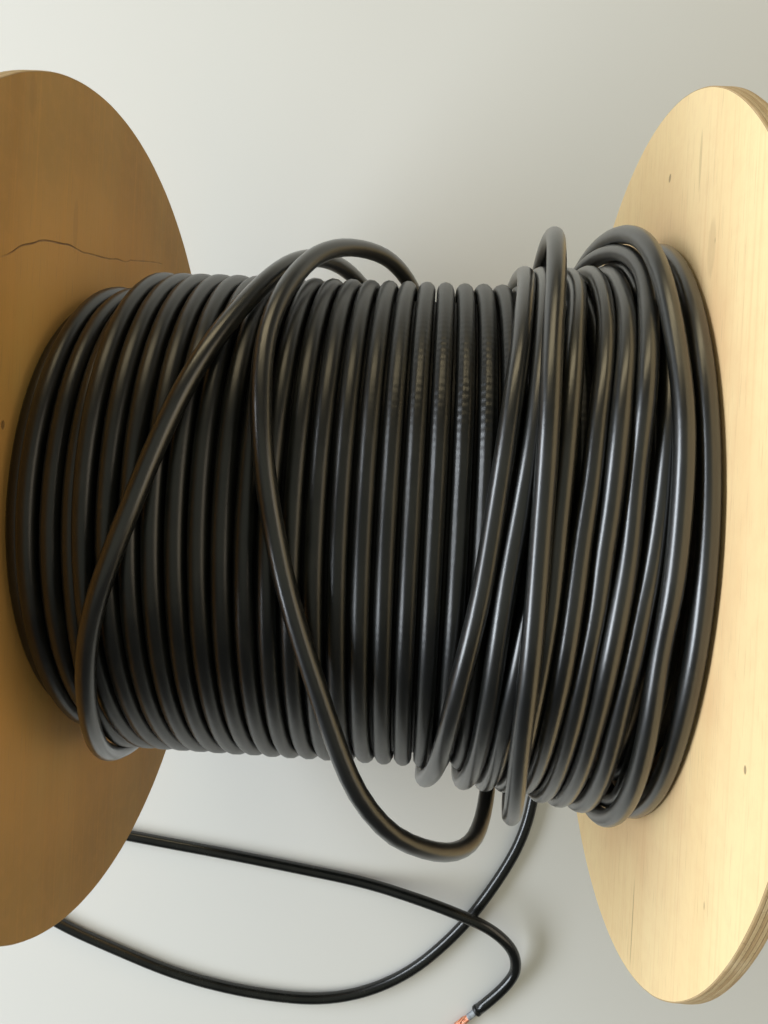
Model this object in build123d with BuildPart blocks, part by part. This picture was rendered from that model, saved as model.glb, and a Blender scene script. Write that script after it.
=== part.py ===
from build123d import *
from math import cos, radians, sin, tan
import os

# A plywood cable drum lying on the rims of its two flanges, part full of black coaxial cable.
# Sizes are in millimetres. X runs along the spindle hole, Z is up, and the origin is on the floor
# under the middle of the drum.

# Flanges
flange_diameter = 304.8
flange_thickness = 5.2
rim_chamfer = 0.5
traverse = 203.2
arbor_diameter = 38.1

# Core tube between the flanges
core_diameter = 88.9
core_wall = 5.0

# Tie rods that clamp the flanges on the core tube
rod_count = 3
rod_diameter = 5.0
rod_circle = 62.0
rod_hole_clearance = 0.8
rod_end = 1.0
nut_height = 3.4
nut_flats = 8.0
thread_clearance = 0.1

# Cable and its winding
cable_diameter = 6.15
cable_sides = 8
turn_count = 32
layer_count = 8
layer_rise = 5.75
low_turns = 3.5
seat_gap = 0.3

# Turns of the layer above, next to the right flange. Places are in turns from the middle of the drum,
# and a lean is how far the turns run to the left at the front and to the right at the back.
upper_start = 5.95
upper_start_lean = 2.1
upper_end = 13.65
upper_end_lean = 1.25
edge_lift = 0.5

# Stripped end of the cable
insulation_diameter = 3.7
insulation_length = 6.0
copper_length = 20.0
copper_tip_diameter = 2.6
copper_spread = 5.0
copper_sides = 8

axis_height = flange_diameter / 2
turn_pitch = traverse / turn_count
cable_radius = cable_diameter / 2
winding_radius = core_diameter / 2 + cable_diameter + (layer_count - 1) * layer_rise
seat_radius = winding_radius + cable_radius + seat_gap
upper_radius = winding_radius + cable_diameter
floor_line = cable_radius + seat_gap / 2

os.makedirs("parts", exist_ok=True)


def across(x):
    """Plane square to the spindle hole at the given place along it."""
    return Plane(origin=(x, 0, axis_height), x_dir=(0, 1, 0), z_dir=(1, 0, 0))


def keep(part, label):
    part.label = label
    export_step(part, f"parts/{label}.step")
    print(label, round(part.volume), "mm3")


# Flanges: plain discs with the spindle hole and the holes of the tie rods
def make_flange(side, label):
    inner_face = side * traverse / 2
    with BuildPart() as flange:
        with BuildSketch(across(inner_face)):
            Circle(flange_diameter / 2)
            Circle(arbor_diameter / 2, mode=Mode.SUBTRACT)
            with PolarLocations(rod_circle / 2, rod_count, start_angle=90):
                Circle((rod_diameter + rod_hole_clearance) / 2, mode=Mode.SUBTRACT)
        extrude(amount=side * flange_thickness)
        rim = flange.edges().filter_by(GeomType.CIRCLE).group_by(SortBy.RADIUS)[-1]
        chamfer(rim, rim_chamfer)
    keep(flange.part, label)


make_flange(-1, "flange_left")
make_flange(1, "flange_right")

# Core tube: meets both flanges face to face
with BuildPart() as core_tube:
    with BuildSketch(across(-traverse / 2)):
        Circle(core_diameter / 2)
        Circle(core_diameter / 2 - core_wall, mode=Mode.SUBTRACT)
    extrude(amount=traverse)
keep(core_tube.part, "core_tube")

# Tie rods run inside the core tube and carry one nut at each end
outer_face = traverse / 2 + flange_thickness
rod_reach = outer_face + nut_height + rod_end
for number in range(rod_count):
    with BuildPart() as tie_rod:
        with BuildSketch(across(-rod_reach)):
            with PolarLocations(rod_circle / 2, 1, start_angle=90 + number * 360 / rod_count):
                Circle(rod_diameter / 2)
        extrude(amount=2 * rod_reach)
    keep(tie_rod.part, f"tie_rod_{number + 1}")


def make_nuts(side, label):
    with BuildPart() as nuts:
        with BuildSketch(across(side * outer_face)):
            with PolarLocations(rod_circle / 2, rod_count, start_angle=90):
                RegularPolygon(nut_flats / 2, 6, major_radius=False)
                Circle(rod_diameter / 2 + thread_clearance, mode=Mode.SUBTRACT)
        extrude(amount=side * nut_height)
    keep(nuts.part, label)


make_nuts(-1, "nuts_left")
make_nuts(1, "nuts_right")


# Winding: one turned solid on the core tube. The turns next to the left flange stop one layer lower,
# and a turn rounds the edge of the upper layer there.
def winding_profile():
    step = -traverse / 2 + low_turns * turn_pitch
    return [
        (-traverse / 2, core_diameter / 2),
        (-traverse / 2, winding_radius - layer_rise),
        (step, winding_radius - layer_rise),
        (step, winding_radius - cable_radius),
        (step + cable_radius / 2, winding_radius),
        (traverse / 2, winding_radius),
        (traverse / 2, core_diameter / 2),
    ]


profile_plane = Plane(origin=(0, 0, axis_height), x_dir=(1, 0, 0), z_dir=(0, -1, 0))
with BuildPart() as cable_winding:
    with BuildSketch(profile_plane):
        with BuildLine():
            Polyline(winding_profile(), close=True)
        make_face()
    revolve(axis=Axis((0, 0, axis_height), (1, 0, 0)))
keep(cable_winding.part, "cable_winding")


# Upper turns: one more layer over the right part of the winding, between two leaning planes
def leaning_plane(place, lean):
    """Plane that a leaning turn lies in."""
    slope = lean * turn_pitch / seat_radius
    return Plane(origin=(place * turn_pitch, 0, axis_height), z_dir=(1, -slope, 0))


with BuildPart() as upper_turns:
    with BuildSketch(across(-traverse / 2)):
        Circle(upper_radius)
        Circle(winding_radius, mode=Mode.SUBTRACT)
    extrude(amount=traverse)
    split(bisect_by=leaning_plane(upper_start, upper_start_lean), keep=Keep.TOP)
    split(bisect_by=leaning_plane(upper_end, upper_end_lean), keep=Keep.BOTTOM)
keep(upper_turns.part, "upper_turns")

# Edge turn: a last turn over the winding, along the right flange
with BuildPart() as edge_turn:
    with BuildSketch(across(traverse / 2)):
        Circle(upper_radius + edge_lift * cable_diameter)
        Circle(winding_radius, mode=Mode.SUBTRACT)
    extrude(amount=-cable_diameter)
keep(edge_turn.part, "edge_turn")


# Loose turns lie over the winding. A station is the place along the drum in turns from its middle, the
# angle from the top towards the front, and how many cable thicknesses the turn stands off its seat.
# An arc passes inside its station, so all stations but the two ends reach out by half a step of turn.
station_step = 26
station_reach = 1 / cos(radians(station_step / 2))


def on_winding(place, angle, lift, reach):
    radius = (seat_radius + lift * cable_diameter) * reach
    turned = radians(angle)
    return Vector(place * turn_pitch, -radius * sin(turned), axis_height + radius * cos(turned))


def turn_route(stations):
    first = on_winding(*stations[0], 1)
    last = on_winding(*stations[-1], 1)
    return [first] + [on_winding(*station, station_reach) for station in stations[1:-1]] + [last]


def corner_radii(points):
    radii = []
    for before, corner, after in zip(points, points[1:], points[2:]):
        shorter = min((corner - before).length, (after - corner).length)
        half_turn = radians((corner - before).get_angle(after - corner)) / 2
        radii.append(0.45 * shorter / tan(half_turn))
    return radii


def make_cable(points, label):
    radii = corner_radii(points)
    runs = [(b - a).length for a, b in zip(points, points[1:])]
    print(label, "runs", [round(run) for run in runs], "radii", [round(radius) for radius in radii])
    with BuildPart() as cable:
        with BuildLine():
            route = FilletPolyline(*points, radius=radii)
        with BuildSketch(Plane(origin=route @ 0, z_dir=route % 0)) as section:
            RegularPolygon(cable_radius, cable_sides, major_radius=False)
        sweep()
    print(label, "length", round(route.length, 1), "volume", round(cable.part.volume),
          "against", round(section.sketch.area * route.length))
    keep(cable.part, label)
    return route


loose_turns = {
    "crossing_turn": [
        (-13.5, 118, -0.9), (-13.45, 105, -0.75), (-13.3, 88, -0.4), (-13.05, 70, -0.1), (-12.2, 46, 0),
        (-11, 20, 0), (-8.9, -4, 0), (-7, -28, 0), (-5.2, -50, 0), (-3.3, -73, 0.5), (-1.2, -98, 0.4),
        (0, -113, 0),
    ],
    "hanging_turn": [
        (3, -119, 0), (2.2, -103, 0.4), (0.6, -87, 1.1), (-1.3, -73, 1.15), (-3, -57, 0.7),
        (-4, -37, 0.1), (-3.6, -16, 0), (-2.4, 6, 0), (-0.9, 26, 0.2), (0.8, 43, 1.6), (2.8, 54, 3),
        (5.1, 64, 3.4), (7.4, 79, 2.8), (8.6, 100, 1.3), (8.9, 117, 1),
    ],
    "tall_turn": [
        (9.9, -120, 1.03), (10, -100, 1.3), (9.9, -77, 2.15), (9.4, -54, 1.8), (8.9, -31, 1.05),
        (8.6, -6, 1.05), (8.5, 19, 1.05), (8.7, 42, 1.05), (9.2, 65, 1.4), (9.8, 88, 1.15),
        (10.2, 107, 1.03),
    ],
    "flange_side_turn": [
        (11.6, -119, 1), (11.8, -102, 1.4), (12.5, -83, 2), (13.4, -65, 2.05), (14, -46, 1.8),
        (14.35, -24, 1.05), (14.15, -1, 0.8), (14.1, 21, 0.2), (13.95, 41, 0.6), (13.8, 59, 0.8),
        (13.5, 78, 0.8), (13.1, 97, 1), (12.8, 113, 1),
    ],
}
for label, stations in loose_turns.items():
    make_cable(turn_route(stations), label)

# Free end: leaves the underside of the winding, comes down to the floor in front of the drum,
# runs out to the left, turns back and passes over itself before it ends, stripped.
free_end_route = [
    Vector(92, 18, 59.3),
    Vector(92, -9, 56.8),
    Vector(92.3, -37, 49),
    Vector(92.8, -64, 35),
    Vector(93.4, -92, 17),
    Vector(94, -120, 6),
    Vector(93, -148, floor_line),
    Vector(88, -175, floor_line),
    Vector(76, -200, floor_line),
    Vector(55, -232, floor_line),
    Vector(24, -262, floor_line),
    Vector(-15, -278, floor_line),
    Vector(-60, -278, floor_line),
    Vector(-105, -271, floor_line),
    Vector(-145, -258, floor_line),
    Vector(-179, -246, floor_line),
    Vector(-205, -231, floor_line),
    Vector(-216, -211.5, floor_line),
    Vector(-206, -194, floor_line),
    Vector(-181, -187, floor_line),
    Vector(-150, -190.5, floor_line),
    Vector(-115, -194.5, floor_line),
    Vector(-78, -198.5, floor_line),
    Vector(-38, -203.5, floor_line),
    Vector(0, -208, floor_line + 1),
    Vector(30, -212, floor_line + 8),
    Vector(51, -216, floor_line + 2 * cable_diameter),
    Vector(73, -224, floor_line + 2 * cable_diameter),
    Vector(87, -240, floor_line + 6),
    Vector(86, -259, floor_line + 1),
    Vector(66.1, -277, floor_line),
]
free_end_line = make_cable(free_end_route, "free_end")

# Stripped end: the inner insulation stands out of the jacket, then the bunched copper strands
with BuildPart() as inner_insulation:
    with BuildSketch(Plane(origin=free_end_line @ 1, z_dir=free_end_line % 1)):
        Circle(insulation_diameter / 2)
    extrude(amount=insulation_length)
keep(inner_insulation.part, "inner_insulation")

copper_axis = Axis(free_end_line @ 1 + insulation_length * (free_end_line % 1), free_end_line % 1)
with BuildPart() as copper_strands:
    with BuildSketch(Plane(origin=copper_axis.position, z_dir=copper_axis.direction)):
        RegularPolygon(copper_spread / 2, copper_sides)
    extrude(amount=copper_length)
    along = copper_strands.faces().sort_by(copper_axis)
    chamfer(along[0].edges() + along[-1].edges(), (copper_spread - copper_tip_diameter) / 2)
keep(copper_strands.part, "copper_strands")
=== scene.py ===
import bpy, bmesh, random
from math import cos, pi, radians, sin, sqrt, tau
from mathutils import Matrix, Vector, noise


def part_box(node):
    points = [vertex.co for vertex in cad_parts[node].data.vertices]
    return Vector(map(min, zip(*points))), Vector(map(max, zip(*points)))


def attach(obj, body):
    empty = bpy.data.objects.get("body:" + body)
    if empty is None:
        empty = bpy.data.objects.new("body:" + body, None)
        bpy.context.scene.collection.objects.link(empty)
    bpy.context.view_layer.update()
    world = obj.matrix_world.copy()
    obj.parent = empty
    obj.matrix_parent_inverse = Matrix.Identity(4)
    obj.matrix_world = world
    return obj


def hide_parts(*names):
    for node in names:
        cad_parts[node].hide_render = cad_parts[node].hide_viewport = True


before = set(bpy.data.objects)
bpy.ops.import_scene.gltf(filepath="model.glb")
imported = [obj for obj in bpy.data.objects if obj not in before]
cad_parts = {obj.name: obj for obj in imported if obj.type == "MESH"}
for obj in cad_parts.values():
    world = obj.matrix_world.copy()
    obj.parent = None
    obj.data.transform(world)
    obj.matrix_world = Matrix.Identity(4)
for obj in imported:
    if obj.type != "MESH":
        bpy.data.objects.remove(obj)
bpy.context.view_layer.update()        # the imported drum, in metres, standing on its two rims
print("frame loaded")


# Small tools for shader maths and meshes

class Value:             # one node socket, so that shader maths reads as plain sums
    def __init__(self, graph, socket):
        self.graph = graph
        self.socket = socket

    def maths(self, operation, *others):
        sockets = {number: other for number, other in enumerate((self,) + others)}
        return self.graph.add("ShaderNodeMath", {"operation": operation}, sockets)

    def flipped(self, operation, other):
        return self.graph.add("ShaderNodeMath", {"operation": operation}, {0: other, 1: self})

    def __add__(self, other):
        return self.maths("ADD", other)

    def __radd__(self, other):
        return self.flipped("ADD", other)

    def __sub__(self, other):
        return self.maths("SUBTRACT", other)

    def __rsub__(self, other):
        return self.flipped("SUBTRACT", other)

    def __mul__(self, other):
        return self.maths("MULTIPLY", other)

    def __rmul__(self, other):
        return self.flipped("MULTIPLY", other)

    def __truediv__(self, other):
        return self.maths("DIVIDE", other)

    def __rtruediv__(self, other):
        return self.flipped("DIVIDE", other)

    def __pow__(self, other):
        return self.maths("POWER", other)


class Finish:            # a material and the nodes that are added to it
    def __init__(self, name):
        self.material = bpy.data.materials.new(name)
        self.material.use_nodes = True
        self.tree = self.material.node_tree
        self.tree.nodes.clear()

    def add(self, kind, settings=None, sockets=None, output=0):
        node = self.tree.nodes.new(kind)
        for name, setting in (settings or {}).items():
            if name == "stops":
                while len(node.color_ramp.elements) < len(setting):
                    node.color_ramp.elements.new(0.5)
                for element, (place, shade) in zip(node.color_ramp.elements, setting):
                    element.position = place
                    element.color = (*shade, 1) if isinstance(shade, tuple) else (shade, shade, shade, 1)
            else:
                setattr(node, name, setting)
        for key, feed in (sockets or {}).items():
            socket = node.inputs[key]
            if isinstance(feed, Value):
                self.tree.links.new(feed.socket, socket)
            elif isinstance(feed, tuple) and socket.type == "RGBA":
                socket.default_value = (*feed, 1)
            else:
                socket.default_value = feed
        return None if output is None else Value(self, node.outputs[output])

    def mix(self, factor, first, second, blend="MIX"):
        settings = {"data_type": "RGBA", "blend_type": blend}
        return self.add("ShaderNodeMix", settings, {0: factor, 6: first, 7: second}, 2)

    def place(self):
        return self.add("ShaderNodeTexCoord", {}, {}, "Object")

    def parts(self, vector):
        split = self.add("ShaderNodeSeparateXYZ", {}, {0: vector})
        return [Value(self, socket) for socket in split.socket.node.outputs]

    def stretched(self, vector, scale, shift=(0, 0, 0)):
        return self.add("ShaderNodeMapping", {}, {"Vector": vector, "Location": shift, "Scale": scale})

    def noise(self, vector, scale, detail=2.0, roughness=0.5, distortion=0.0):
        sockets = {"Vector": vector, "Scale": scale, "Detail": detail,
                   "Roughness": roughness, "Distortion": distortion}
        return self.add("ShaderNodeTexNoise", {}, sockets)

    def cells(self, vector, scale, feature="F1"):
        return self.add("ShaderNodeTexVoronoi", {"feature": feature}, {"Vector": vector, "Scale": scale})

    def step(self, value, low, high):       # 0 below low, 1 above high, smooth between
        settings = {"interpolation_type": "SMOOTHSTEP"}
        return self.add("ShaderNodeMapRange", settings, {"Value": value, 1: low, 2: high, 3: 0.0, 4: 1.0})

    def bump(self, height, distance, strength=1.0):
        return self.add("ShaderNodeBump", {}, {"Height": height, "Distance": distance, "Strength": strength})

    def close(self, **sockets):
        named = {name.replace("_", " "): feed for name, feed in sockets.items()}
        shader = self.add("ShaderNodeBsdfPrincipled", {}, named)
        self.add("ShaderNodeOutputMaterial", {}, {"Surface": shader}, None)
        return self.material


def meshPiece(name, corners, faces, material, slot, smooth=True, around=None):
    mesh = bpy.data.meshes.new(name)
    mesh.from_pydata(corners, [], faces)
    if around:           # one (round the cable, along it) pair for each face corner
        layer = mesh.uv_layers.new(name="jacketLines")
        for loop, pair in zip(layer.data, around):
            loop.uv = pair
    mesh.polygons.foreach_set("use_smooth", [smooth] * len(mesh.polygons))
    mesh.update()
    piece = bpy.data.objects.new(name, mesh)
    bpy.context.collection.objects.link(piece)
    if material:
        mesh.materials.append(material)
    if slot:
        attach(piece, "root")
    return piece


# Camera, above the drum and looking down at it, as the photograph was taken

camera = {
    "place": (0.02423, 0.00747, 0.46772),
    "turns": (0.0086, -0.0535, -0.0515),     # radians about X, Y and Z, from straight down
    "focal": 28.72,
    "sensor": 36.0,
}


def setCamera():
    lens = bpy.data.cameras.new("camera")
    lens.lens = camera["focal"]
    lens.sensor_width = camera["sensor"]
    lens.clip_start = 0.01
    viewer = bpy.data.objects.new("camera", lens)
    bpy.context.collection.objects.link(viewer)
    aboutX, aboutY, aboutZ = (Matrix.Rotation(turn, 3, axis) for turn, axis in zip(camera["turns"], "XYZ"))
    aimed = (aboutZ @ aboutY @ aboutX).transposed().to_4x4()
    viewer.matrix_world = Matrix.Translation(camera["place"]) @ aimed
    bpy.context.scene.camera = viewer


setCamera()
print("camera set")


# Sizes taken from the frame

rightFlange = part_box("flange_right")
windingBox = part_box("cable_winding")
axisHeight = (rightFlange[0][2] + rightFlange[1][2]) / 2
flangeRadius = (rightFlange[1][2] - rightFlange[0][2]) / 2
innerFace = rightFlange[0][0]
flangeThickness = rightFlange[1][0] - rightFlange[0][0]

turnsAcross = 32
cable = {
    "radius": 0.003075,
    "layerRise": 0.00575,
    "pitch": 2 * innerFace / turnsAcross,     # unit of place along the drum
    "seatGap": 0.0003,
    "sides": 14,
    "squeeze": 0.95,                 # how near two turns lie, in diameters
}
windingRadius = (windingBox[1][2] - windingBox[0][2]) / 2
seatRadius = windingRadius + cable["radius"] + cable["seatGap"]
floorLine = cable["radius"] + cable["seatGap"] / 2
diameter = 2 * cable["radius"]
touching = diameter * cable["squeeze"]


# Finishes

jacketLook = {
    "dark": (0.0026, 0.0031, 0.0028),
    "light": (0.0062, 0.0066, 0.0054),
    "dustAndSheen": (0.042, 0.040, 0.033),
    "braidRound": 5,                 # braid strands round the cable
    "braidAlong": 190.0,             # braid strands in a metre
    "braidHeight": 0.00006,
    "rippleAcross": (-0.005, 0.03),  # where the braid's ripple comes in along the drum
    "rippleFront": (-0.045, -0.01),  # where it comes in from the front
    "rippleBack": (0.075, 0.05),     # and where it has gone towards the back
    "coatRoughness": 0.24,
}


def makeJacket(name, dustAndSheen, gloss, shine, braided, coat=0.0):
    finish = Finish(name)
    place = finish.place()
    across, back, _ = finish.parts(place)
    lines = finish.add("ShaderNodeUVMap", {"uv_map": "jacketLines"})
    around, along, _ = finish.parts(lines)
    twist = around * (tau * jacketLook["braidRound"])
    travel = along * (tau * jacketLook["braidAlong"])
    braid = (twist + travel).maths("SINE") * (twist - travel).maths("SINE")
    patches = finish.noise(place, 60, 3)
    fine = finish.noise(place, 900, 3, 0.6)
    wisps = finish.noise(finish.stretched(place, (1, 0.3, 0.3)), 160, 5, 0.65)
    specks = finish.step(finish.cells(place, 420), 0.10, 0.05)
    sparse = finish.step(finish.noise(place, 45, 2), 0.56, 0.66)
    # A grey dusting in patches and specks: real dirt on the cable, and where its amount is high, as on the
    # wound turns, also a painted sheen.
    dustAndSheenCover = finish.step(wisps, 0.5, 0.78) * dustAndSheen + specks * sparse * (dustAndSheen * 1.4)
    colour = finish.mix(finish.step(patches, 0.35, 0.7), jacketLook["dark"], jacketLook["light"])
    colour = finish.mix(dustAndSheenCover.maths("MINIMUM", 1), colour, jacketLook["dustAndSheen"])
    roughness = gloss + patches * 0.08 + dustAndSheenCover * 0.2 + (fine - 0.5) * 0.06
    uneven = finish.step(finish.noise(place, 30, 2), 0.3, 0.55) * finish.noise(place, 300, 2) * 2
    rippled = (finish.step(across, *jacketLook["rippleAcross"])
               * finish.step(back, *jacketLook["rippleFront"])
               * finish.step(back, *jacketLook["rippleBack"]))
    height = braid * rippled * uneven * braided + (fine - 0.5) * 0.08 + patches * 0.5
    bump = finish.bump(height, jacketLook["braidHeight"])
    return finish.close(Base_Color=colour, Roughness=roughness, Normal=bump, Specular_IOR_Level=shine,
                        Coat_Weight=coat, Coat_Roughness=jacketLook["coatRoughness"])


jacket = makeJacket("blackJacket", 0.05, 0.30, 0.9, 0.12, 0.6)         # for the loose turns
# The wound turns get four times the grey dusting of the loose turns: part real dirt, part painted sheen that
# stands in for a broad ceiling reflection along each turn.
woundJacket = makeJacket("woundJacket", 0.2, 0.32, 0.8, 1.0)
jacketShaded = makeJacket("shadedJacket", 0.05, 0.4, 0.5, 0.3)
jacketClean = makeJacket("cleanJacket", 0.02, 0.22, 0.62, 0.15)        # for the free end


# Tubes: a curve's points, a frame carried along them, and rings of corners

def splinePoints(name, route):       # the smooth line of one open NURBS spline through the route
    curve = bpy.data.curves.new(name, "CURVE")
    curve.dimensions = "3D"
    spline = curve.splines.new("NURBS")
    spline.points.add(len(route) - 1)
    for point, place in zip(spline.points, route):
        point.co = (*place, 1)
    spline.order_u = 3
    spline.use_endpoint_u = True
    spline.resolution_u = 8
    holder = bpy.data.objects.new(name, curve)
    mesh = bpy.data.meshes.new_from_object(holder)
    points = [vertex.co.copy() for vertex in mesh.vertices]
    bpy.data.objects.remove(holder)
    bpy.data.curves.remove(curve)
    bpy.data.meshes.remove(mesh)
    return points


class Tube:                          # collects the tubes of one piece
    def __init__(self, sides):
        self.sides = sides
        self.corners = []
        self.faces = []
        self.around = []

    def sweep(self, points, radius, closed=False, start=(0, 0, 1)):
        count = len(points)
        side = Vector(start)
        travelled = 0.0
        first = len(self.corners)
        lengths = []
        for number, point in enumerate(points):
            before = points[number - 1] if number or closed else point
            after = points[(number + 1) % count] if number + 1 < count or closed else point
            along = (after - before).normalized()
            side = (side - along * side.dot(along)).normalized()
            other = along.cross(side)
            size = radius(number / (count - 1)) if callable(radius) else radius
            if number:
                travelled += (point - points[number - 1]).length
            lengths.append(travelled)
            for step in range(self.sides):
                angle = tau * step / self.sides
                self.corners.append(point + size * (cos(angle) * side + sin(angle) * other))
        rings = count if closed else count - 1
        for ring in range(rings):
            onward = (ring + 1) % count
            end = lengths[onward] if onward else travelled + (points[0] - points[-1]).length
            for step in range(self.sides):
                across = (step + 1) % self.sides
                self.faces.append([first + ring * self.sides + step, first + ring * self.sides + across,
                                   first + onward * self.sides + across, first + onward * self.sides + step])
                near, far = step / self.sides, (step + 1) / self.sides
                self.around += [(near, lengths[ring]), (far, lengths[ring]), (far, end), (near, end)]
        if not closed:
            for ring, order in ((0, -1), (count - 1, 1)):
                cap = [first + ring * self.sides + step for step in range(self.sides)][::order]
                self.faces.append(cap)
                self.around += [(0, lengths[ring])] * self.sides

    def piece(self, name, material, slot):
        return meshPiece(name, self.corners, self.faces, material, slot, around=self.around)


# Free end: from under the winding down to the floor, out to the left, back and over itself

freeEnd = {
    "route": [
        (0.092, 0.018, 0.0593), (0.092, -0.009, 0.0568), (0.0923, -0.037, 0.049),
        (0.0928, -0.064, 0.035), (0.0934, -0.092, 0.017), (0.094, -0.120, 0.006),
        (0.093, -0.148, floorLine), (0.088, -0.175, floorLine), (0.076, -0.200, floorLine),
        (0.055, -0.232, floorLine), (0.024, -0.262, floorLine), (-0.015, -0.278, floorLine),
        (-0.060, -0.278, floorLine), (-0.105, -0.271, floorLine), (-0.145, -0.258, floorLine),
        (-0.179, -0.246, floorLine), (-0.205, -0.231, floorLine), (-0.216, -0.2115, floorLine),
        (-0.206, -0.194, floorLine), (-0.181, -0.187, floorLine), (-0.150, -0.1905, floorLine),
        (-0.115, -0.1945, floorLine), (-0.078, -0.1985, floorLine), (-0.038, -0.2035, floorLine),
        (0, -0.208, floorLine + 0.001), (0.030, -0.212, floorLine + 0.008),
        (0.051, -0.216, floorLine + 2 * diameter), (0.073, -0.224, floorLine + 2 * diameter),
        (0.087, -0.240, floorLine + 0.006), (0.086, -0.259, floorLine + 0.001),
        (0.0661, -0.277, floorLine),
    ],
    "length": 0.943,
}


def makeFreeEnd():
    points = splinePoints("freeEndLine", freeEnd["route"])
    tube = Tube(24)
    tube.sweep(points, cable["radius"])
    piece = tube.piece("freeEnd", jacketClean, "cable_jacket")
    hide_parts("free_end")
    return piece, points


freeEndPiece, freeEndPoints = makeFreeEnd()


# Stripped end: a lip of cut jacket, the grey insulation, and the copper strands

strippedEnd = {
    "insulationRadius": 0.00185,
    "insulationLength": 0.006,
    "copperLength": 0.0195,
    "strands": 19,
    "strandRadius": 0.00033,
    "bunch": 0.0011,
    "spread": 0.0019,
    "twist": 1.1,
    "seed": 4,
}


def makeInsulationFinish():
    finish = Finish("greyInsulation")
    place = finish.place()
    patches = finish.noise(place, 500, 3)
    fine = finish.noise(place, 2600, 2)
    colour = finish.mix(finish.step(patches, 0.35, 0.65), (0.15, 0.16, 0.18), (0.30, 0.32, 0.34))
    bump = finish.bump(patches * 0.6 + fine * 0.4, 0.0001)
    return finish.close(Base_Color=colour, Roughness=0.38 + fine * 0.2, Normal=bump)


def makeCopperFinish():
    finish = Finish("brightCopper")
    place = finish.place()
    patches = finish.noise(place, 700, 3)
    fine = finish.noise(place, 5200, 2)
    colour = finish.mix(finish.step(patches, 0.35, 0.7), (0.88, 0.36, 0.20), (0.98, 0.56, 0.38))
    bump = finish.bump(fine, 0.00005)
    return finish.close(Base_Color=colour, Roughness=0.26 + patches * 0.2, Metallic=0.75, Normal=bump)


def endFrame():
    end = freeEndPoints[-1]
    along = (freeEndPoints[-1] - freeEndPoints[-4]).normalized()
    side = along.cross(Vector((0, 0, 1))).normalized()
    return end, along, side, side.cross(along)


def makeJacketLip():                 # the pressed edge left where the jacket was cut round
    end, along, _, _ = endFrame()
    tube = Tube(24)
    outline = [(-0.0016, 0.0), (-0.0012, 0.00018), (-0.0005, 0.00012), (0.0, 0.0001),
               (0.0004, -0.0002)]
    points = [end + along * place for place, _ in outline]
    sizes = [cable["radius"] * 0.995 + swell for _, swell in outline]
    tube.sweep(points, lambda share: sizes[round(share * (len(sizes) - 1))])
    return tube.piece("jacketLip", jacketShaded, "cable_jacket")


def makeInsulation():
    end, along, _, _ = endFrame()
    count = 9
    tube = Tube(24)
    lengths = [strippedEnd["insulationLength"] * number / count for number in range(count + 1)]
    points = [end + along * length for length in lengths]
    radius = strippedEnd["insulationRadius"]
    tube.sweep(points, lambda share: radius * (1 + 0.03 * sin(9 * share) - 0.12 * share**6))
    piece = tube.piece("innerInsulation", makeInsulationFinish(), "insulation")
    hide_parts("inner_insulation")
    return piece


def makeCopper():
    end, along, side, up = endFrame()
    dice = random.Random(strippedEnd["seed"])
    start = end + along * (strippedEnd["insulationLength"] - 0.0012)
    tube = Tube(8)
    steps = 26
    for strand in range(strippedEnd["strands"]):
        ring = 0 if strand == 0 else (1 if strand < 7 else 2)
        turn = tau * strand / (6 if ring == 1 else 12) + dice.uniform(-0.2, 0.2)
        reach = strippedEnd["copperLength"] * dice.uniform(0.84, 1.0)
        flare = dice.uniform(0.75, 1.15)
        wave = dice.uniform(0, tau)
        points = []
        for step in range(steps + 1):
            share = step / steps
            size = strippedEnd["bunch"] * (0.6 + 0.4 * (1 - share)) * ring / 2
            swell = sin(pi * min(share * 1.25, 1.0)) * 0.55 + 0.30 * share**2
            size += strippedEnd["spread"] * flare * ring / 2 * swell
            angle = turn + strippedEnd["twist"] * tau * share * 0.5 + 0.35 * sin(wave + 7 * share)
            offset = side * (size * cos(angle)) + up * (size * sin(angle))
            points.append(start + along * (reach * share + 0.0008 * share) + offset)
        tube.sweep(points, lambda share: strippedEnd["strandRadius"] * (1.0 if share < 0.96 else 0.7))
    piece = tube.piece("copperStrands", makeCopperFinish(), "copper")
    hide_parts("copper_strands")
    return piece


jacketLip = makeJacketLip()
insulationPiece = makeInsulation()
copperPiece = makeCopper()
print("free end laid")


# Winding: the turns of the outer layer, then the loose turns laid over them. A place along the drum is
# counted in cable pitches from its middle, an angle in degrees from the top towards the front, and a
# height in cable diameters above the seat on the outer layer.

layer = {
    "lowPlaces": [-15.5, -14.6, -13.53, -12.5],     # left-hand turns that stop lower down
    "lowLayers": [1.9, 1, 1, 1],                    # how many layers lower each of them lies
    "firstPlace": -11.6,
    "lastPlace": 14.7,
    "spacing": 1.05,
    "lean": 0.24,                    # pitches that the left-hand turns lean by
    "lowLean": 0.05,
    "climbs": 3,                     # the low turn that climbs to the outer layer, and between which degrees
    "climbBetween": (15, 70),
    "straightFrom": -3.0,            # no lean past this place
    "step": 4,
    "waver": 0.035,
    "wobble": 0.00012,
    "sag": 0.0024,                   # how much flatter the turns lie at the front
    "jog": (150, 210),               # degrees between which a turn moves on to the next place
}


def easeBetween(value, low, high):
    share = min(max((value - low) / (high - low), 0), 1)
    return share * share * (3 - 2 * share)


def sagAt(angle):
    return layer["sag"] * max(sin(radians(angle)), 0) ** 2


def onWinding(place, angle, radius):
    turned = radians(angle)
    return Vector((place * cable["pitch"], -radius * sin(turned), axisHeight + radius * cos(turned)))


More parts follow.
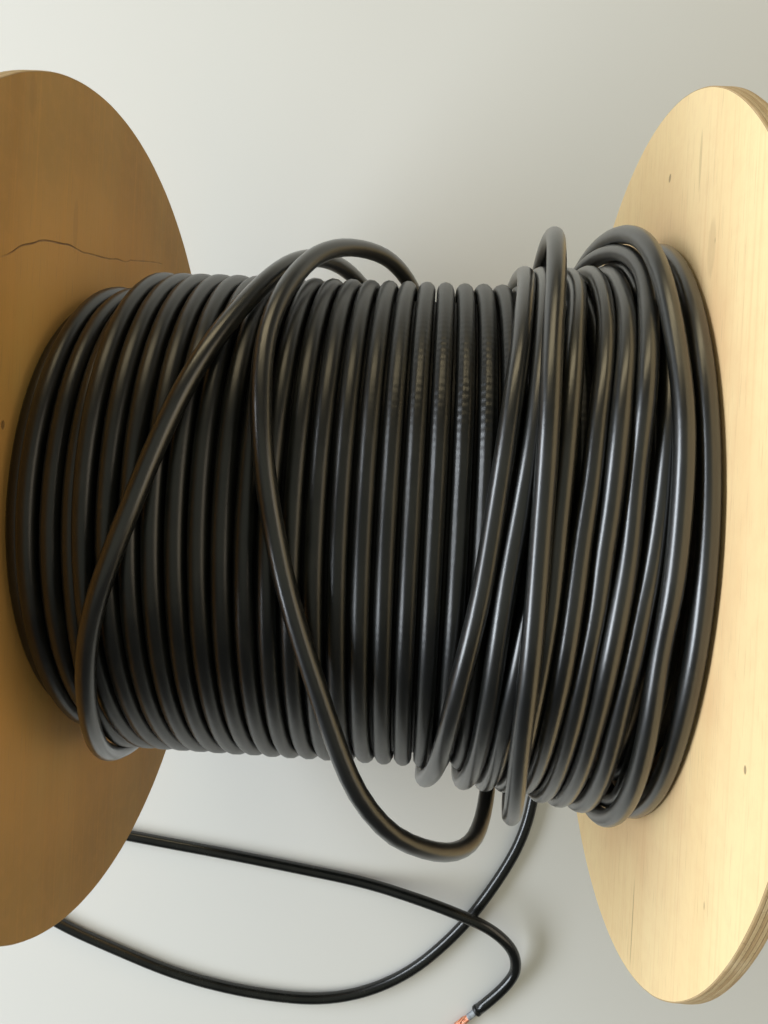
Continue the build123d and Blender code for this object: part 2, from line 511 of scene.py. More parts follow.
def layerTurns():
    upper = round((layer["lastPlace"] - layer["firstPlace"]) / layer["spacing"]) + 1
    gap = (layer["lastPlace"] - layer["firstPlace"]) / (upper - 1)
    turns = [(place, layer["lowLean"], drop) for place, drop in zip(layer["lowPlaces"], layer["lowLayers"])]
    for number in range(upper):
        place = layer["firstPlace"] + gap * number
        share = (layer["straightFrom"] - place) / (layer["straightFrom"] - layer["firstPlace"])
        turns.append((place, layer["lean"] * min(max(share, 0), 1), 0))
    return turns


def layerLine(angle):                # place and radius of the outer layer's cable, angle from -180 on
    number = int((angle + 180) // 360)
    turned = (angle + 180) % 360 - 180
    number = min(number, len(outerTurns) - 1)
    leaving = 0.5 * easeBetween(turned, layer["jog"][0], 180) if turned > 0 else 0
    arriving = 0.5 - 0.5 * easeBetween(turned, -180, layer["jog"][1] - 360) if turned < 0 else 0

    def turnAt(index):
        place, lean, drop = outerTurns[min(max(index, 0), len(outerTurns) - 1)]
        if index == layer["climbs"]:
            drop *= 0 if index < number else 1 - easeBetween(turned, *layer["climbBetween"])
        radius = windingRadius - cable["radius"] - drop * cable["layerRise"]
        return place + lean * sin(radians(turned)), radius

    here = turnAt(number)
    there = turnAt(number + 1) if turned > 0 else turnAt(number - 1)
    share = leaving if turned > 0 else arriving
    place = here[0] + (there[0] - here[0]) * share
    radius = here[1] + (there[1] - here[1]) * share
    drift = noise.noise(Vector((angle / 47, 3.1, place)))
    lift = noise.noise(Vector((angle / 31, 7.7, place)))
    return place + layer["waver"] * drift, radius + layer["wobble"] * lift - sagAt(angle)


outerTurns = layerTurns()
bury = 0.009                         # how deep the two hidden ends go in


def makeOuterLayer():
    start, end = -170, 360 * len(outerTurns) - 180 - 30
    tube = Tube(12)
    points = []
    for angle in range(start, end + 1, layer["step"]):
        place, radius = layerLine(angle)
        radius -= bury * (1 - easeBetween(angle, start, start + 24))
        points.append(onWinding(place, angle, radius))
    tube.sweep(points, cable["radius"], start=(1, 0, 0))
    piece = tube.piece("outerLayerTurns", woundJacket, "cable_jacket")
    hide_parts("cable_winding")


def makeWindingCore():               # the turns below the outer layer, as one turned body with its bore
    bore = (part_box("core_tube")[1][2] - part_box("core_tube")[0][2]) / 2
    under = windingRadius - cable["layerRise"] - 0.0012
    half = turnsAcross / 2
    profile = [(-half, bore), (half, bore), (half, under)]
    for turn in reversed(range(1, len(outerTurns))):
        place, _, drop = outerTurns[turn]
        lower = outerTurns[turn - 1][2]
        if lower != drop:
            at = place - 0.5
            profile += [(at, under - drop * cable["layerRise"]), (at, under - lower * cable["layerRise"])]
    profile.append((-half, under - outerTurns[0][2] * cable["layerRise"]))
    count = 96
    corners = [onWinding(place, 360 * turn / count, radius)
               for turn in range(count) for place, radius in profile]
    size = len(profile)
    faces = []
    for turn in range(count):
        here, there = turn * size, (turn + 1) % count * size
        for edge in range(size):
            across = (edge + 1) % size
            faces.append([here + edge, there + edge, there + across, here + across])
    piece = meshPiece("windingCore", corners, faces, jacketShaded, "cable_jacket", smooth=False)
    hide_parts("cable_winding")


makeOuterLayer()
makeWindingCore()
print("outer layer wound:", len(outerTurns), "turns")


# Loose turns: each is laid over all that is already on the drum. Stations are (place, angle, height),
# and a turn closes on itself under the drum unless openTurns names it.

looseTurns = {
    "leaningTurn": [
        (8.45, -74, 0), (7.75, -39, 0), (7.3, -24, 0), (6.75, -6, 0), (6.3, 9, 0), (5.64, 26, 0),
        (5.2, 41, 0), (4.85, 55, 0), (4.4, 71, 0), (4.35, 90, 0), (5.0, 130, 0), (6.4, 180, 0),
        (8.0, 235, 0),
    ],
    "secondLeaningTurn": [
        (9.4, -74, 0), (8.72, -39, 0), (8.27, -20, 0), (7.8, -6.5, 0), (7.45, 3.4, 0), (7.27, 10, 0),
        (7.12, 19, 0), (7.0, 30, 0), (6.85, 44, 0), (6.65, 58, 0), (6.5, 70, 0), (6.5, 90, 0),
        (6.9, 130, 0), (7.8, 180, 0), (9.0, 235, 0),
    ],
    "tuckedTurn": [
        (8.7, -4, -1.2), (8.5, 8, -0.9), (8.2, 19, -0.2), (8.0, 28, 0), (7.87, 37, 0), (7.8, 48, 0),
        (7.65, 71, 0), (7.7, 95, 0), (7.9, 120, -0.2), (8.2, 140, -1.2),
    ],
    "turnUnderTallOne": [
        (10.8, -74, 0), (10.72, -57, 0), (10.16, -38, 0), (9.8, -24, 0), (9.55, -13, 0), (9.35, -2, 0),
        (9.25, 9, 0), (9.1, 21, 0), (8.95, 33, 0), (8.85, 50, 0), (8.75, 72, 0), (8.8, 100, 0),
        (9.1, 140, 0), (10.0, 190, 0), (10.7, 240, 0),
    ],
    "thirdTurn": [
        (11.95, -74, 0.15), (11.75, -46, 0), (11.35, -31, 0), (10.95, -20, 0), (10.63, -9, 0),
        (10.38, -1, 0), (10.23, 6, 0), (10.1, 14, 0), (10.0, 22, 0), (9.9, 34, 0), (9.8, 52, 0),
        (9.75, 72, 0), (9.85, 105, 0), (10.3, 150, 0), (11.2, 200, 0), (11.8, 245, 0),
    ],
    "fourthTurn": [
        (12.95, -74, 0.2), (12.75, -50, 0), (12.4, -36, 0), (12.0, -25, 0), (11.7, -15, 0), (11.45, -4, 0),
        (11.3, 2, 0), (11.17, 11, 0), (11.0, 20, 0), (10.9, 30, 0), (10.8, 46, 0.1), (10.75, 62, 0.3),
        (10.73, 76, 0.45), (10.85, 105, 0.2), (11.3, 150, 0), (12.2, 200, 0), (12.8, 245, 0),
    ],
    "innerArchTurn": [
        (11.8, -108, 0.3), (12.3, -94, 1.0), (13.0, -80, 1.35), (13.6, -66, 1.2), (13.8, -54, 0.6),
        (13.4, -40, 0.1), (12.98, -27, 0), (12.7, -17, 0), (12.5, -8, 0), (12.35, 1, 0), (12.05, 12, 0),
        (11.9, 20, 0), (11.85, 30, 0), (11.78, 42, 0.2), (11.7, 56, 0.45), (11.68, 72, 0.6),
        (11.8, 100, 0.3), (11.9, 150, 0), (11.6, 210, 0),
    ],
    "shadedTurn": [
        (14.72, -74, 0), (14.7, -50, 0), (14.2, -28, 0), (13.75, -12, 0), (13.4, 1, 0), (13.05, 12, 0),
        (12.9, 21, 0), (12.82, 30, 0), (12.8, 42, 0.3), (12.8, 55, 0.6), (12.85, 72, 0.8), (12.9, 100, 0.5),
        (13.1, 150, 0), (13.9, 210, 0),
    ],
    "flangeTurn": [
        (14.49, -169, 0), (14.6, -150, 0), (15.0, -120, 0.4), (15.3, -95, 1.1), (15.45, -73, 1.45),
        (15.45, -50, 1.05), (15.42, -28, 0.7), (15.4, -8, 0.5), (15.4, 12, 0.4), (15.4, 31, 0.5),
        (15.45, 46, 0.7), (15.5, 62, 0.85), (15.5, 78, 0.9), (15.4, 100, 0.5), (15.4, 125, 0),
        (15.5, 150, -0.98),
    ],
    "crossingTurn": [
        (-13.4, 118, -1.1), (-13.4, 105, -0.8), (-13.3, 88, -0.6), (-13.1, 70, -0.35),
        (-12.2, 46, 0), (-11, 20, 0), (-8.9, -4, 0), (-7, -28, 0), (-5.2, -50, 0),
        (-3.3, -73, 0.5), (-1.2, -98, 0.4), (0, -113, 0),
    ],
    "hangingTurn": [
        (3, -119, 0), (2.2, -103, 0.4), (0.6, -87, 1.05), (-1.3, -73, 1.15), (-3.0, -57, 0.7),
        (-4.0, -37, 0.1), (-3.6, -16, 0), (-2.4, 6, 0), (-0.9, 26, 0.1), (0.8, 43, 1.3), (2.8, 54, 3.1),
        (5.1, 64, 3.8), (7.4, 79, 2.9), (8.6, 100, 1.0), (8.9, 117, 0),
    ],
    "tallTurn": [
        (9.9, -120, 0), (10, -100, 1.0), (9.9, -77, 2.15), (9.4, -54, 1.6), (8.9, -31, 0.3),
        (8.6, -6, 0), (8.5, 19, 0.1), (8.6, 42, 0.9), (9.0, 65, 1.7), (9.6, 88, 1.3), (10.2, 107, 0),
    ],
    "flangeSideTurn": [
        (12.4, -119, 0.2), (12.6, -102, 1.2), (13.2, -83, 2.1), (13.8, -65, 2.3), (14.15, -46, 1.3),
        (14.35, -24, 0.3), (14.15, -1, 0), (14.0, 21, 0.1), (14.05, 41, 0.9), (14.1, 59, 1.4),
        (14.1, 78, 1.3), (14.0, 97, 0.6), (13.9, 113, 0),
    ],
    "sunkenTurn": [
        (14.2, 20, -1.2), (14.35, 38, -0.9), (14.5, 56, -0.2), (14.65, 68, 0.4), (14.7, 79, 0.6),
        (14.68, 88, 0.5), (14.65, 97, 0.1), (14.6, 112, -0.5), (14.4, 130, -1.2),
    ],
    "hollowTurn": [
        (13.3, -150, -1.2), (13.4, -128, -0.6), (13.6, -106, 0.3), (13.77, -90, 0.8), (13.83, -81, 0.85),
        (13.9, -74, 0.5), (13.95, -67, -0.1), (13.95, -56, -1.2),
    ],
}
ownNodes = {"crossingTurn": "crossing_turn", "hangingTurn": "hanging_turn",
            "tallTurn": "tall_turn", "flangeSideTurn": "flange_side_turn", "flangeTurn": "edge_turn"}
openTurns = ("tuckedTurn", "flangeTurn", "sunkenTurn", "hollowTurn")
slippedTurns = ("sunkenTurn", "hollowTurn")      # these keep their own heights, in gaps between the others
turnStep = 3                         # degrees between the rings of a loose turn
gridStep = 1                         # degrees between the places where heights are tested


def steady(stations, angle, closed):     # smooth place and height at an angle between stations
    count = len(stations)
    angles = [station[1] for station in stations]
    if closed:
        angle = (angle - angles[0]) % 360 + angles[0]
    index = max(number for number in range(count) if angles[number] <= angle + 1e-6)

    def reading(number):
        if closed:
            laps, number = divmod(number, count)
            place, turned, height = stations[number]
            return place, turned + 360 * laps, height
        return stations[min(max(number, 0), count - 1)]

    if not closed and index == count - 1:
        return stations[-1][0], stations[-1][2]
    before, here, there, after = (reading(index + step) for step in (-1, 0, 1, 2))
    width = there[1] - here[1]
    share = (angle - here[1]) / width
    answer = []
    for part in (0, 2):
        slopeHere = (there[part] - before[part]) / max(there[1] - before[1], 1e-6)
        slopeThere = (after[part] - here[part]) / max(after[1] - here[1], 1e-6)
        cube, square = share**3, share**2
        answer.append((2 * cube - 3 * square + 1) * here[part]
                      + (cube - 2 * square + share) * width * slopeHere
                      + (3 * square - 2 * cube) * there[part]
                      + (cube - square) * width * slopeThere)
    return answer


laid = {}                            # angle of the circle -> places and radii of what already lies there


def layOuterLayer():
    for turn in range(len(outerTurns)):
        for angle in range(-180, 180, gridStep):
            laid.setdefault(angle, []).append(layerLine(360 * turn + angle))


def wholeAngle(angle):               # the same angle as a whole number from -180 on
    return (round(angle) + 180) % 360 - 180


def layTurn(name, stations):
    closed = name not in openTurns
    ordered = sorted(stations, key=lambda station: station[1])
    first = ordered[0][1]
    span = 360 if closed else ordered[-1][1] - first
    angles = [first + number * gridStep for number in range(int(span / gridStep) + (0 if closed else 1))]
    readings = [steady(ordered, angle, closed) for angle in angles]
    places = [reading[0] for reading in readings]
    wanted = [seatRadius + reading[1] * diameter - sagAt(angle) for angle, reading in zip(angles, readings)]
    count = len(angles)
    needed = []
    for number, angle in enumerate(angles):
        onward = readings[(number + 1) % count][0] if closed or number + 1 < count else places[number]
        slope = (onward - places[number]) * cable["pitch"] / (seatRadius * radians(gridStep))
        lean = 1 / sqrt(1 + slope * slope)
        top = 0
        for place, radius in laid[wholeAngle(angle)]:
            apart = abs(place - places[number]) * cable["pitch"] * lean
            if apart < touching:
                top = max(top, radius + sqrt(touching**2 - apart**2))
        sunk = name in slippedTurns or (name in openTurns and readings[number][1] < -0.05)
        needed.append(wanted[number] if sunk else max(wanted[number], top))

    def within(number):              # goes on round a closed turn, and stays inside an open one
        return number % count if closed else min(max(number, 0), count - 1)

    reachSteps = 5                   # the cable is stiff, so it spans the small dips between turns
    smooth = needed
    for reach, pick in ((reachSteps, max), (reachSteps, None), (reachSteps, None)):
        nearby = []
        for number in range(count):
            window = [smooth[within(number + step)] for step in range(-reach, reach + 1)]
            nearby.append(pick(window) if pick else sum(window) / len(window))
        smooth = nearby
    for number, angle in enumerate(angles):
        laid[wholeAngle(angle)].append((places[number], smooth[number]))
    every = turnStep // gridStep
    return [(angles[number], onWinding(places[number], angles[number], smooth[number]))
            for number in range(0, count, every)], closed


def makeLooseTurns():
    layOuterLayer()
    rest = Tube(cable["sides"])
    for name, stations in looseTurns.items():
        samples, closed = layTurn(name, stations)
        if name not in ownNodes:
            rest.sweep([point for _, point in samples], cable["radius"], closed, start=(1, 0, 0))
            continue
        low = min(station[1] for station in stations)
        high = max(station[1] for station in stations)
        shown = [point for angle, point in samples if low <= angle <= high]
        hidden = [point for angle, point in samples if angle > high]
        tube = Tube(cable["sides"] + 4)
        tube.sweep(shown, cable["radius"], start=(1, 0, 0))
        piece = tube.piece(name, jacket, "cable_jacket")
        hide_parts(ownNodes[name])
        if closed:
            rest.sweep([shown[-1]] + hidden + [shown[0]], cable["radius"], start=(1, 0, 0))
    piece = rest.piece("upperTurns", jacket, "cable_jacket")
    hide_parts("upper_turns")


makeLooseTurns()
print("loose turns laid")


# Flanges: plywood discs of five plies, with the spindle hole and the rod holes

flange = {
    "plies": 5,
    "around": 300,
    "edgeRound": 0.00035,
    "plyGroove": 0.00016,
    "grooveHalf": 0.00013,
    "rough": 0.00012,                # unevenness of the sawn rim
    "boreRadius": 0.01905,
    "rodRadius": 0.0029,
    "rodCircle": 0.031,
    "rods": 3,
}

woodToneAndShade = {
    "right": {"pale": (0.84, 0.63, 0.335), "warm": (0.77, 0.52, 0.25), "rosy": (0.68, 0.415, 0.21),
              "outer": (0.84, 0.64, 0.335)},
    # Left flange: painted shade. Its tones are the right flange's plywood made darker and more orange, as it
    # looks in shade, and its outer tone darkens the face further towards the rim.
    "left": {"pale": (0.66, 0.40, 0.12), "warm": (0.58, 0.32, 0.085), "rosy": (0.66, 0.33, 0.09),
             "outer": (0.28, 0.145, 0.03)},
    "grainAcross": 420.0,
    "grainAlong": 7.0,
}


def makeVeneer(side):
    look = woodToneAndShade[side]
    finish = Finish(side + "Veneer")
    place = finish.place()
    _, back, up = finish.parts(place)
    bands = finish.noise(finish.stretched(place, (1, 1.6, 24)), 1, 4, 0.55, 0.6)
    fineGrain = (1, woodToneAndShade["grainAlong"], woodToneAndShade["grainAcross"])
    grain = finish.noise(finish.stretched(place, fineGrain), 1, 5, 0.6)
    pores = finish.noise(finish.stretched(place, (1, 60, 1500)), 1, 2, 0.5)
    clouds = finish.noise(place, 16, 3, 0.5)
    height = up - axisHeight
    radius = (back * back + height * height).maths("SQRT")
    nearWinding = finish.step(radius, 0.142, 0.098) * finish.step(clouds, 0.30, 0.62)
    colour = finish.mix(finish.step(bands, 0.36, 0.66), look["pale"], look["warm"])
    # Painted shade: the face darkens towards the rim by mixing in the outer tone; on the right flange that
    # tone matches the pale one, so nothing changes there.
    colour = finish.mix(finish.step(radius, 0.075, 0.135) * 0.6, colour, look["outer"])
    colour = finish.mix(nearWinding * 0.6, colour, look["rosy"])
    colour = finish.mix(finish.step(grain, 0.50, 0.72) * 0.30, colour, look["rosy"])
    mottle = finish.step(finish.noise(place, 170, 4, 0.65), 0.42, 0.68)
    colour = finish.mix(mottle * 0.14, colour, look["rosy"])
    colour = finish.mix(finish.step(pores, 0.60, 0.72) * 0.22, colour, (0.30, 0.19, 0.10))
    marks = flangeMarks(finish, side, back, up)
    colour = finish.mix(marks.maths("MINIMUM", 1), colour, (0.10, 0.055, 0.028))
    relief = grain * 0.5 + pores * 0.5 - marks * 3.0
    bump = finish.bump(relief, 0.00012)
    return finish.close(Base_Color=colour, Roughness=0.58 + grain * 0.16, Normal=bump,
                        Specular_IOR_Level=0.35)


def spot(finish, back, up, at, size):    # a soft dark spot, longer along the grain
    away = ((back - at[0]) / size[0]) ** 2 + ((up - at[1]) / size[1]) ** 2
    return finish.step(away, 1.0, 0.35)


def line(finish, back, up, course, width, ends):     # a dark line that wanders as it goes up
    low, high = ends
    share = (up - low) / (high - low)
    ramp = finish.add("ShaderNodeValToRGB", {"stops": course["stops"]}, {0: share})
    ramp.socket.node.color_ramp.interpolation = "CARDINAL"
    wanted = ramp * (course["high"] - course["low"]) + course["low"]
    near = finish.step((back - wanted).maths("ABSOLUTE"), width, width * 0.35)
    return near * finish.step(up, low, low + 0.004) * finish.step(up, high, high - 0.012)


def flangeMarks(finish, side, back, up):
    if side == "left":
        course = {"low": 0.07, "high": 0.115,
                  "stops": [(0.0, 0.93), (0.29, 0.70), (0.41, 0.595), (0.58, 0.48),
                            (0.70, 0.43), (0.83, 0.32), (0.92, 0.18), (1.0, 0.04)]}
        patchy = finish.step(finish.noise(finish.place(), 130, 3), 0.35, 0.65)
        fading = finish.step(up, 0.09, 0.23) * 0.55 + patchy * 0.3
        crack = line(finish, back, up, course, 0.0004, (0.100, 0.242)) * fading
        knot = spot(finish, back, up, (0.0252, axisHeight + 0.0814), (0.0016, 0.0012))
        streak = spot(finish, back, up, (0.098, axisHeight + 0.040), (0.011, 0.0022))
        smear = spot(finish, back, up, (0.126, axisHeight + 0.073), (0.008, 0.0026))
        return crack * 0.95 + knot * 0.6 + streak * 0.13 + smear * 0.12
    dot = spot(finish, back, up, (0.125, axisHeight + 0.028), (0.0016, 0.0016))
    scratch = spot(finish, back, up, (0.117, axisHeight + 0.061), (0.011, 0.0013))
    smudge = spot(finish, back, up, (0.086, axisHeight + 0.0755), (0.010, 0.004))
    seam = spot(finish, back, up, (-0.132, axisHeight + 0.031), (0.018, 0.0004))
    speck = spot(finish, back, up, (-0.0503, axisHeight + 0.1196), (0.0012, 0.0009))
    flecks = finish.step(finish.cells(finish.stretched(finish.place(), (1, 0.5, 1)), 70), 0.055, 0.03)
    return dot * 0.55 + scratch * 0.22 + smudge * 0.14 + seam * 0.6 + speck * 0.6 + flecks * 0.35


def makePlyEdge():
    finish = Finish("plyEdge")
    place = finish.place()
    across, _, _ = finish.parts(place)
    depth = (across.maths("ABSOLUTE") - innerFace) / flangeThickness * flange["plies"]
    odd = finish.step((depth * pi).maths("SINE"), -0.25, 0.25)
    fibres = finish.noise(finish.stretched(place, (2600, 160, 160)), 1, 3, 0.6)
    pits = finish.noise(place, 900, 4, 0.7)
    blotches = finish.noise(place, 55, 3)
    wave = (depth * pi).maths("SINE").maths("ABSOLUTE")
    glue = finish.step(wave, 0.22, 0.05)
    colour = finish.mix(fibres, (0.49, 0.35, 0.185), (0.58, 0.43, 0.24))
    colour = finish.mix(odd * 0.55, colour, (0.42, 0.27, 0.13))
    colour = finish.mix(glue * 0.6, colour, (0.22, 0.13, 0.06))
    colour = finish.mix(finish.step(pits, 0.55, 0.72) * 0.5, colour, (0.24, 0.15, 0.08))
    colour = finish.mix(finish.step(blotches, 0.5, 0.75) * 0.3, colour, (0.86, 0.74, 0.52))
    bump = finish.bump(fibres * 0.5 + pits * 0.6 - glue * 0.5, 0.0002)
    return finish.close(Base_Color=colour, Roughness=0.78, Normal=bump, Specular_IOR_Level=0.25)


def flangeProfile():                 # depth from the inner face, and how far the rim is cut back there
    rows = [(0.0, flange["edgeRound"]), (flange["edgeRound"] * 0.35, flange["edgeRound"] * 0.3),
            (flange["edgeRound"], 0.0)]
    ply = flangeThickness / flange["plies"]
    half = flange["grooveHalf"]
    for number in range(1, flange["plies"]):
        rows += [(ply * number - half, 0.0), (ply * number, flange["plyGroove"]), (ply * number + half, 0.0)]
        rows.append((ply * (number + 0.5), 0.0 if number % 2 else flange["plyGroove"] * 0.3))
    rows.pop()
    rows += [(flangeThickness - depth, cut) for depth, cut in reversed(rows[:3])]
    return rows


def rodPlace(rod):                   # how far back and up from the drum's axis a rod lies
    angle = radians(90) + tau * rod / flange["rods"]
    return flange["rodCircle"] * cos(angle), flange["rodCircle"] * sin(angle)


def makeFlange(name, side, node, veneer, edge):
    rows = flangeProfile()
    count = flange["around"]
    work = bmesh.new()
    rings = []
    for depth, cut in rows:
        ring = []
        for turn in range(count):
            angle = tau * turn / count
            fuzz = noise.noise(Vector((cos(angle) * 14, sin(angle) * 14, depth * 900 + 20 * side)))
            ripple = noise.noise(Vector((cos(angle) * 70, sin(angle) * 70, depth * 1500 + 20 * side)))
            radius = flangeRadius - cut - flange["rough"] * (0.5 + 0.5 * fuzz)
            radius -= flange["rough"] * 0.5 * abs(ripple)
            corner = (side * (innerFace + depth), radius * cos(angle), axisHeight + radius * sin(angle))
            ring.append(work.verts.new(corner))
        rings.append(ring)
    for low, high in zip(rings, rings[1:]):
        for turn in range(count):
            onward = (turn + 1) % count
            work.faces.new((low[turn], low[onward], high[onward], high[turn])).material_index = 1
    holes = [(0.0, 0.0, flange["boreRadius"], 72)]
    holes += [(*rodPlace(rod), flange["rodRadius"], 24) for rod in range(flange["rods"])]
    ends = ([rings[0]], [rings[-1]])
    for back, up, radius, steps in holes:
        loops = []
        for depth in (0.0, flangeThickness):
            loop = []
            for step in range(steps):
                angle = tau * step / steps
                loop.append(work.verts.new((side * (innerFace + depth), back + radius * cos(angle),
                                            axisHeight + up + radius * sin(angle))))
            loops.append(loop)
        for step in range(steps):
            onward = (step + 1) % steps
            wall = work.faces.new((loops[0][step], loops[0][onward], loops[1][onward], loops[1][step]))
            wall.material_index = 1
        ends[0].append(loops[0])
        ends[1].append(loops[1])
    for loops in ends:
        edges = []
        for loop in loops:
            for number, corner in enumerate(loop):
                onward = loop[(number + 1) % len(loop)]
                edges.append(work.edges.get((corner, onward)) or work.edges.new((corner, onward)))
        filled = bmesh.ops.triangle_fill(work, use_beauty=True, use_dissolve=False, edges=edges)
        for item in filled["geom"]:
            if isinstance(item, bmesh.types.BMFace):
                item.material_index = 0
    bmesh.ops.recalc_face_normals(work, faces=work.faces)
    mesh = bpy.data.meshes.new(name)
    work.to_mesh(mesh)
    work.free()
    mesh.materials.append(veneer)
    mesh.materials.append(edge)
    piece = bpy.data.objects.new(name, mesh)
    bpy.context.collection.objects.link(piece)
    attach(piece, "root")
    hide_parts(node)


plyEdge = makePlyEdge()
makeFlange("leftFlange", -1, "flange_left", makeVeneer("left"), plyEdge)
makeFlange("rightFlange", 1, "flange_right", makeVeneer("right"), plyEdge)
print("flanges sawn")


# Core tube, tie rods and nuts

def makeFibre():
    finish = Finish("brownFibre")
    place = finish.place()
    leaning = finish.stretched(place, (1, 0.25, 0.25))
    spiral = finish.add("ShaderNodeTexWave", {"wave_type": "BANDS", "bands_direction": "X"},
                        {"Vector": leaning, "Scale": 9.0, "Distortion": 0.6})
    fibres = finish.noise(finish.stretched(place, (1, 6, 6)), 260, 4, 0.65)
    seam = finish.step(spiral, 0.10, 0.02)
    colour = finish.mix(fibres, (0.30, 0.19, 0.10), (0.44, 0.30, 0.17))
    colour = finish.mix(seam * 0.6, colour, (0.14, 0.085, 0.045))
    bump = finish.bump(fibres * 0.5 - seam, 0.00015)
    return finish.close(Base_Color=colour, Roughness=0.85, Normal=bump)


def makePlatedSteel():
    finish = Finish("zincPlate")
    place = finish.place()
    bloom = finish.cells(place, 900)
    haze = finish.noise(place, 260, 4, 0.6)
    dull = finish.step(haze, 0.42, 0.72)
    colour = finish.mix(dull, (0.60, 0.61, 0.62), (0.42, 0.40, 0.36))
    bump = finish.bump(bloom * 0.4 + haze * 0.6, 0.00005)
    return finish.close(Base_Color=colour, Metallic=0.95, Roughness=0.30 + dull * 0.22, Normal=bump)


platedSteel = makePlatedSteel()

hardware = {
    "threadPitch": 0.0008,
    "threadDepth": 0.00028,
    "threadLength": 0.016,
    "chamfer": 0.0005,
    "nutHalf": 0.004,                # from a nut's middle to its flats
    "nutHole": 0.0026,
}


def turned(name, profile, centre, count, material, slot):    # a body turned about a line along the drum
    corners = []
    for x, radius in profile:
        for step in range(count):
            angle = tau * step / count
            corners.append((x, centre[1] + radius * cos(angle), centre[2] + radius * sin(angle)))
    faces = [list(range(count))[::-1], [(len(profile) - 1) * count + step for step in range(count)]]
    for row in range(len(profile) - 1):
        for step in range(count):
            onward = (step + 1) % count
            here, there = row * count, (row + 1) * count
            faces.append([here + step, here + onward, there + onward, there + step])
    return meshPiece(name, corners, faces, material, slot, smooth=False)


def makeRod(number):
    low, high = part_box(f"tie_rod_{number}")
    radius = (high[1] - low[1]) / 2
    centre = [(a + b) / 2 for a, b in zip(low, high)]
    half = (high[0] - low[0]) / 2
    profile = [(half, radius - hardware["threadDepth"] * 1.3)]
    turnsDown = int(hardware["threadLength"] / hardware["threadPitch"])
    for crest in range(turnsDown):
        at = half - hardware["threadPitch"] * (crest + 0.5)
        profile += [(at, radius), (at - hardware["threadPitch"] / 2, radius - hardware["threadDepth"])]
    profile = [(-x, size) for x, size in profile] + profile[::-1]
    piece = turned(f"tieRod{number}", profile, centre, 32, platedSteel, "plated_steel")
    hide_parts(f"tie_rod_{number}")


def makeNuts(name, node):
    low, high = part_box(node)
    side = 1 if low[0] > 0 else -1
    near, far = (low[0], high[0]) if side > 0 else (high[0], low[0])
    flats = hardware["nutHalf"]
    outline = ((near, "hole"), (near, "hex"), (far - side * hardware["chamfer"], "hex"),
               (far, "round"), (far, "hole"))
    corners, faces = [], []
    for rod in range(flange["rods"]):
        back, up = rodPlace(rod)
        centre = (back, axisHeight + up)
        steps = 48
        rows = []
        for x, kind in outline:
            row = []
            for step in range(steps):
                turn = tau * step / steps
                hexagon = flats / cos((turn + pi / 6) % (pi / 3) - pi / 6)
                sizes = {"hole": hardware["nutHole"], "hex": hexagon, "round": min(hexagon, flats * 1.02)}
                size = sizes[kind]
                row.append(len(corners))
                corners.append((x, centre[0] + size * cos(turn), centre[1] + size * sin(turn)))
            rows.append(row)
        rows.append(rows[0])
        for first, second in zip(rows, rows[1:]):
            for step in range(steps):
                onward = (step + 1) % steps
                face = [first[step], first[onward], second[onward], second[step]]
                faces.append(face if side > 0 else face[::-1])
    piece = meshPiece(name, corners, faces, platedSteel, "plated_steel", smooth=False)
    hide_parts(node)


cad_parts["core_tube"].data.materials.clear()
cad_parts["core_tube"].data.materials.append(makeFibre())
for number in (1, 2, 3):
    makeRod(number)
makeNuts("leftNuts", "nuts_left")
makeNuts("rightNuts", "nuts_right")
print("core and rods set")


# Floor and light

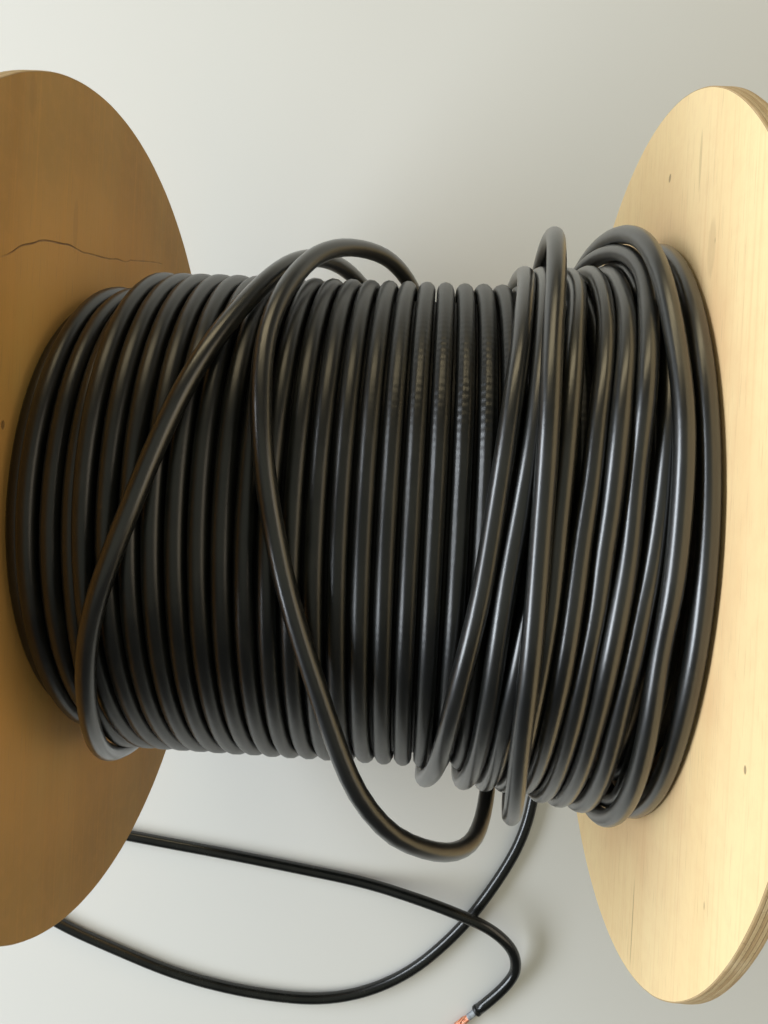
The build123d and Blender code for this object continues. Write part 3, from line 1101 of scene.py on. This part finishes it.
stage = {
    "floorSize": 6.0,
    "floorLevel": -0.0002,
    "floorColour": (0.61, 0.60, 0.575),
    "skyColour": (0.90, 0.91, 0.92),
    "skyStrength": 0.06,
    "backdropStrength": 0.92,        # what the camera alone sees of the sky
    "lamps": [
        {"name": "window", "place": (-1.30, -0.05, 0.76), "size": (1.90, 0.50),
         "watts": 40, "colour": (0.86, 0.93, 1.0)},
        {"name": "backLamp", "place": (-0.15, 1.10, 0.57), "size": (0.80, 0.24),
         "watts": 2.4, "colour": (1.0, 0.84, 0.52)},
        {"name": "ceiling", "place": (0.10, 0.0, 1.60), "size": (2.4, 2.0),
         "watts": 3.0, "colour": (0.98, 1.0, 0.78)},
        {"name": "softCeiling", "place": (0.10, 0.0, 1.61), "size": (2.4, 2.0),
         "watts": 8.5, "colour": (0.98, 1.0, 0.78), "mirrored": False},      # left out of reflections
        {"name": "fill", "place": (1.25, 0.10, 0.75), "size": (1.4, 0.9),
         "watts": 6.5, "colour": (1.0, 0.87, 0.66)},
    ],
    "lookAt": (0.03, 0.0, 0.19),
}


def makeFloor():
    finish = Finish("paleFloor")
    shade = finish.noise(finish.place(), 3, 4, 0.55)
    colour = finish.mix(shade, stage["floorColour"], tuple(0.93 * part for part in stage["floorColour"]))
    half, level = stage["floorSize"] / 2, stage["floorLevel"]
    corners = [(-half, -half, level), (half, -half, level), (half, half, level), (-half, half, level)]
    floor = meshPiece("floor", corners, [[0, 1, 2, 3]], finish.close(Base_Color=colour, Roughness=0.8), None)


def makeLight():
    for lamp in stage["lamps"]:
        light = bpy.data.lights.new(lamp["name"], "AREA")
        light.shape = "RECTANGLE"
        light.size, light.size_y = lamp["size"]
        light.energy = lamp["watts"]
        light.color = lamp["colour"]
        holder = bpy.data.objects.new(lamp["name"], light)
        bpy.context.collection.objects.link(holder)
        holder.location = lamp["place"]
        holder.visible_glossy = lamp.get("mirrored", True)
        aim = Vector(stage["lookAt"]) - Vector(lamp["place"])
        holder.rotation_euler = aim.to_track_quat("-Z", "Y").to_euler()
    world = bpy.data.worlds.new("studio")
    bpy.context.scene.world = world
    world.use_nodes = True
    nodes, links = world.node_tree.nodes, world.node_tree.links
    nodes.clear()
    rays = nodes.new("ShaderNodeLightPath")
    soft, seen = nodes.new("ShaderNodeBackground"), nodes.new("ShaderNodeBackground")
    either = nodes.new("ShaderNodeMixShader")
    soft.inputs["Color"].default_value = (*stage["skyColour"], 1)
    soft.inputs["Strength"].default_value = stage["skyStrength"]
    seen.inputs["Color"].default_value = (*stage["skyColour"], 1)
    seen.inputs["Strength"].default_value = stage["backdropStrength"]
    links.new(rays.outputs["Is Camera Ray"], either.inputs[0])
    links.new(soft.outputs[0], either.inputs[1])
    links.new(seen.outputs[0], either.inputs[2])
    output = nodes.new("ShaderNodeOutputWorld")
    links.new(either.outputs[0], output.inputs[0])
    bpy.context.scene.view_settings.view_transform = "Standard"


makeFloor()
makeLight()
print("stage lit")
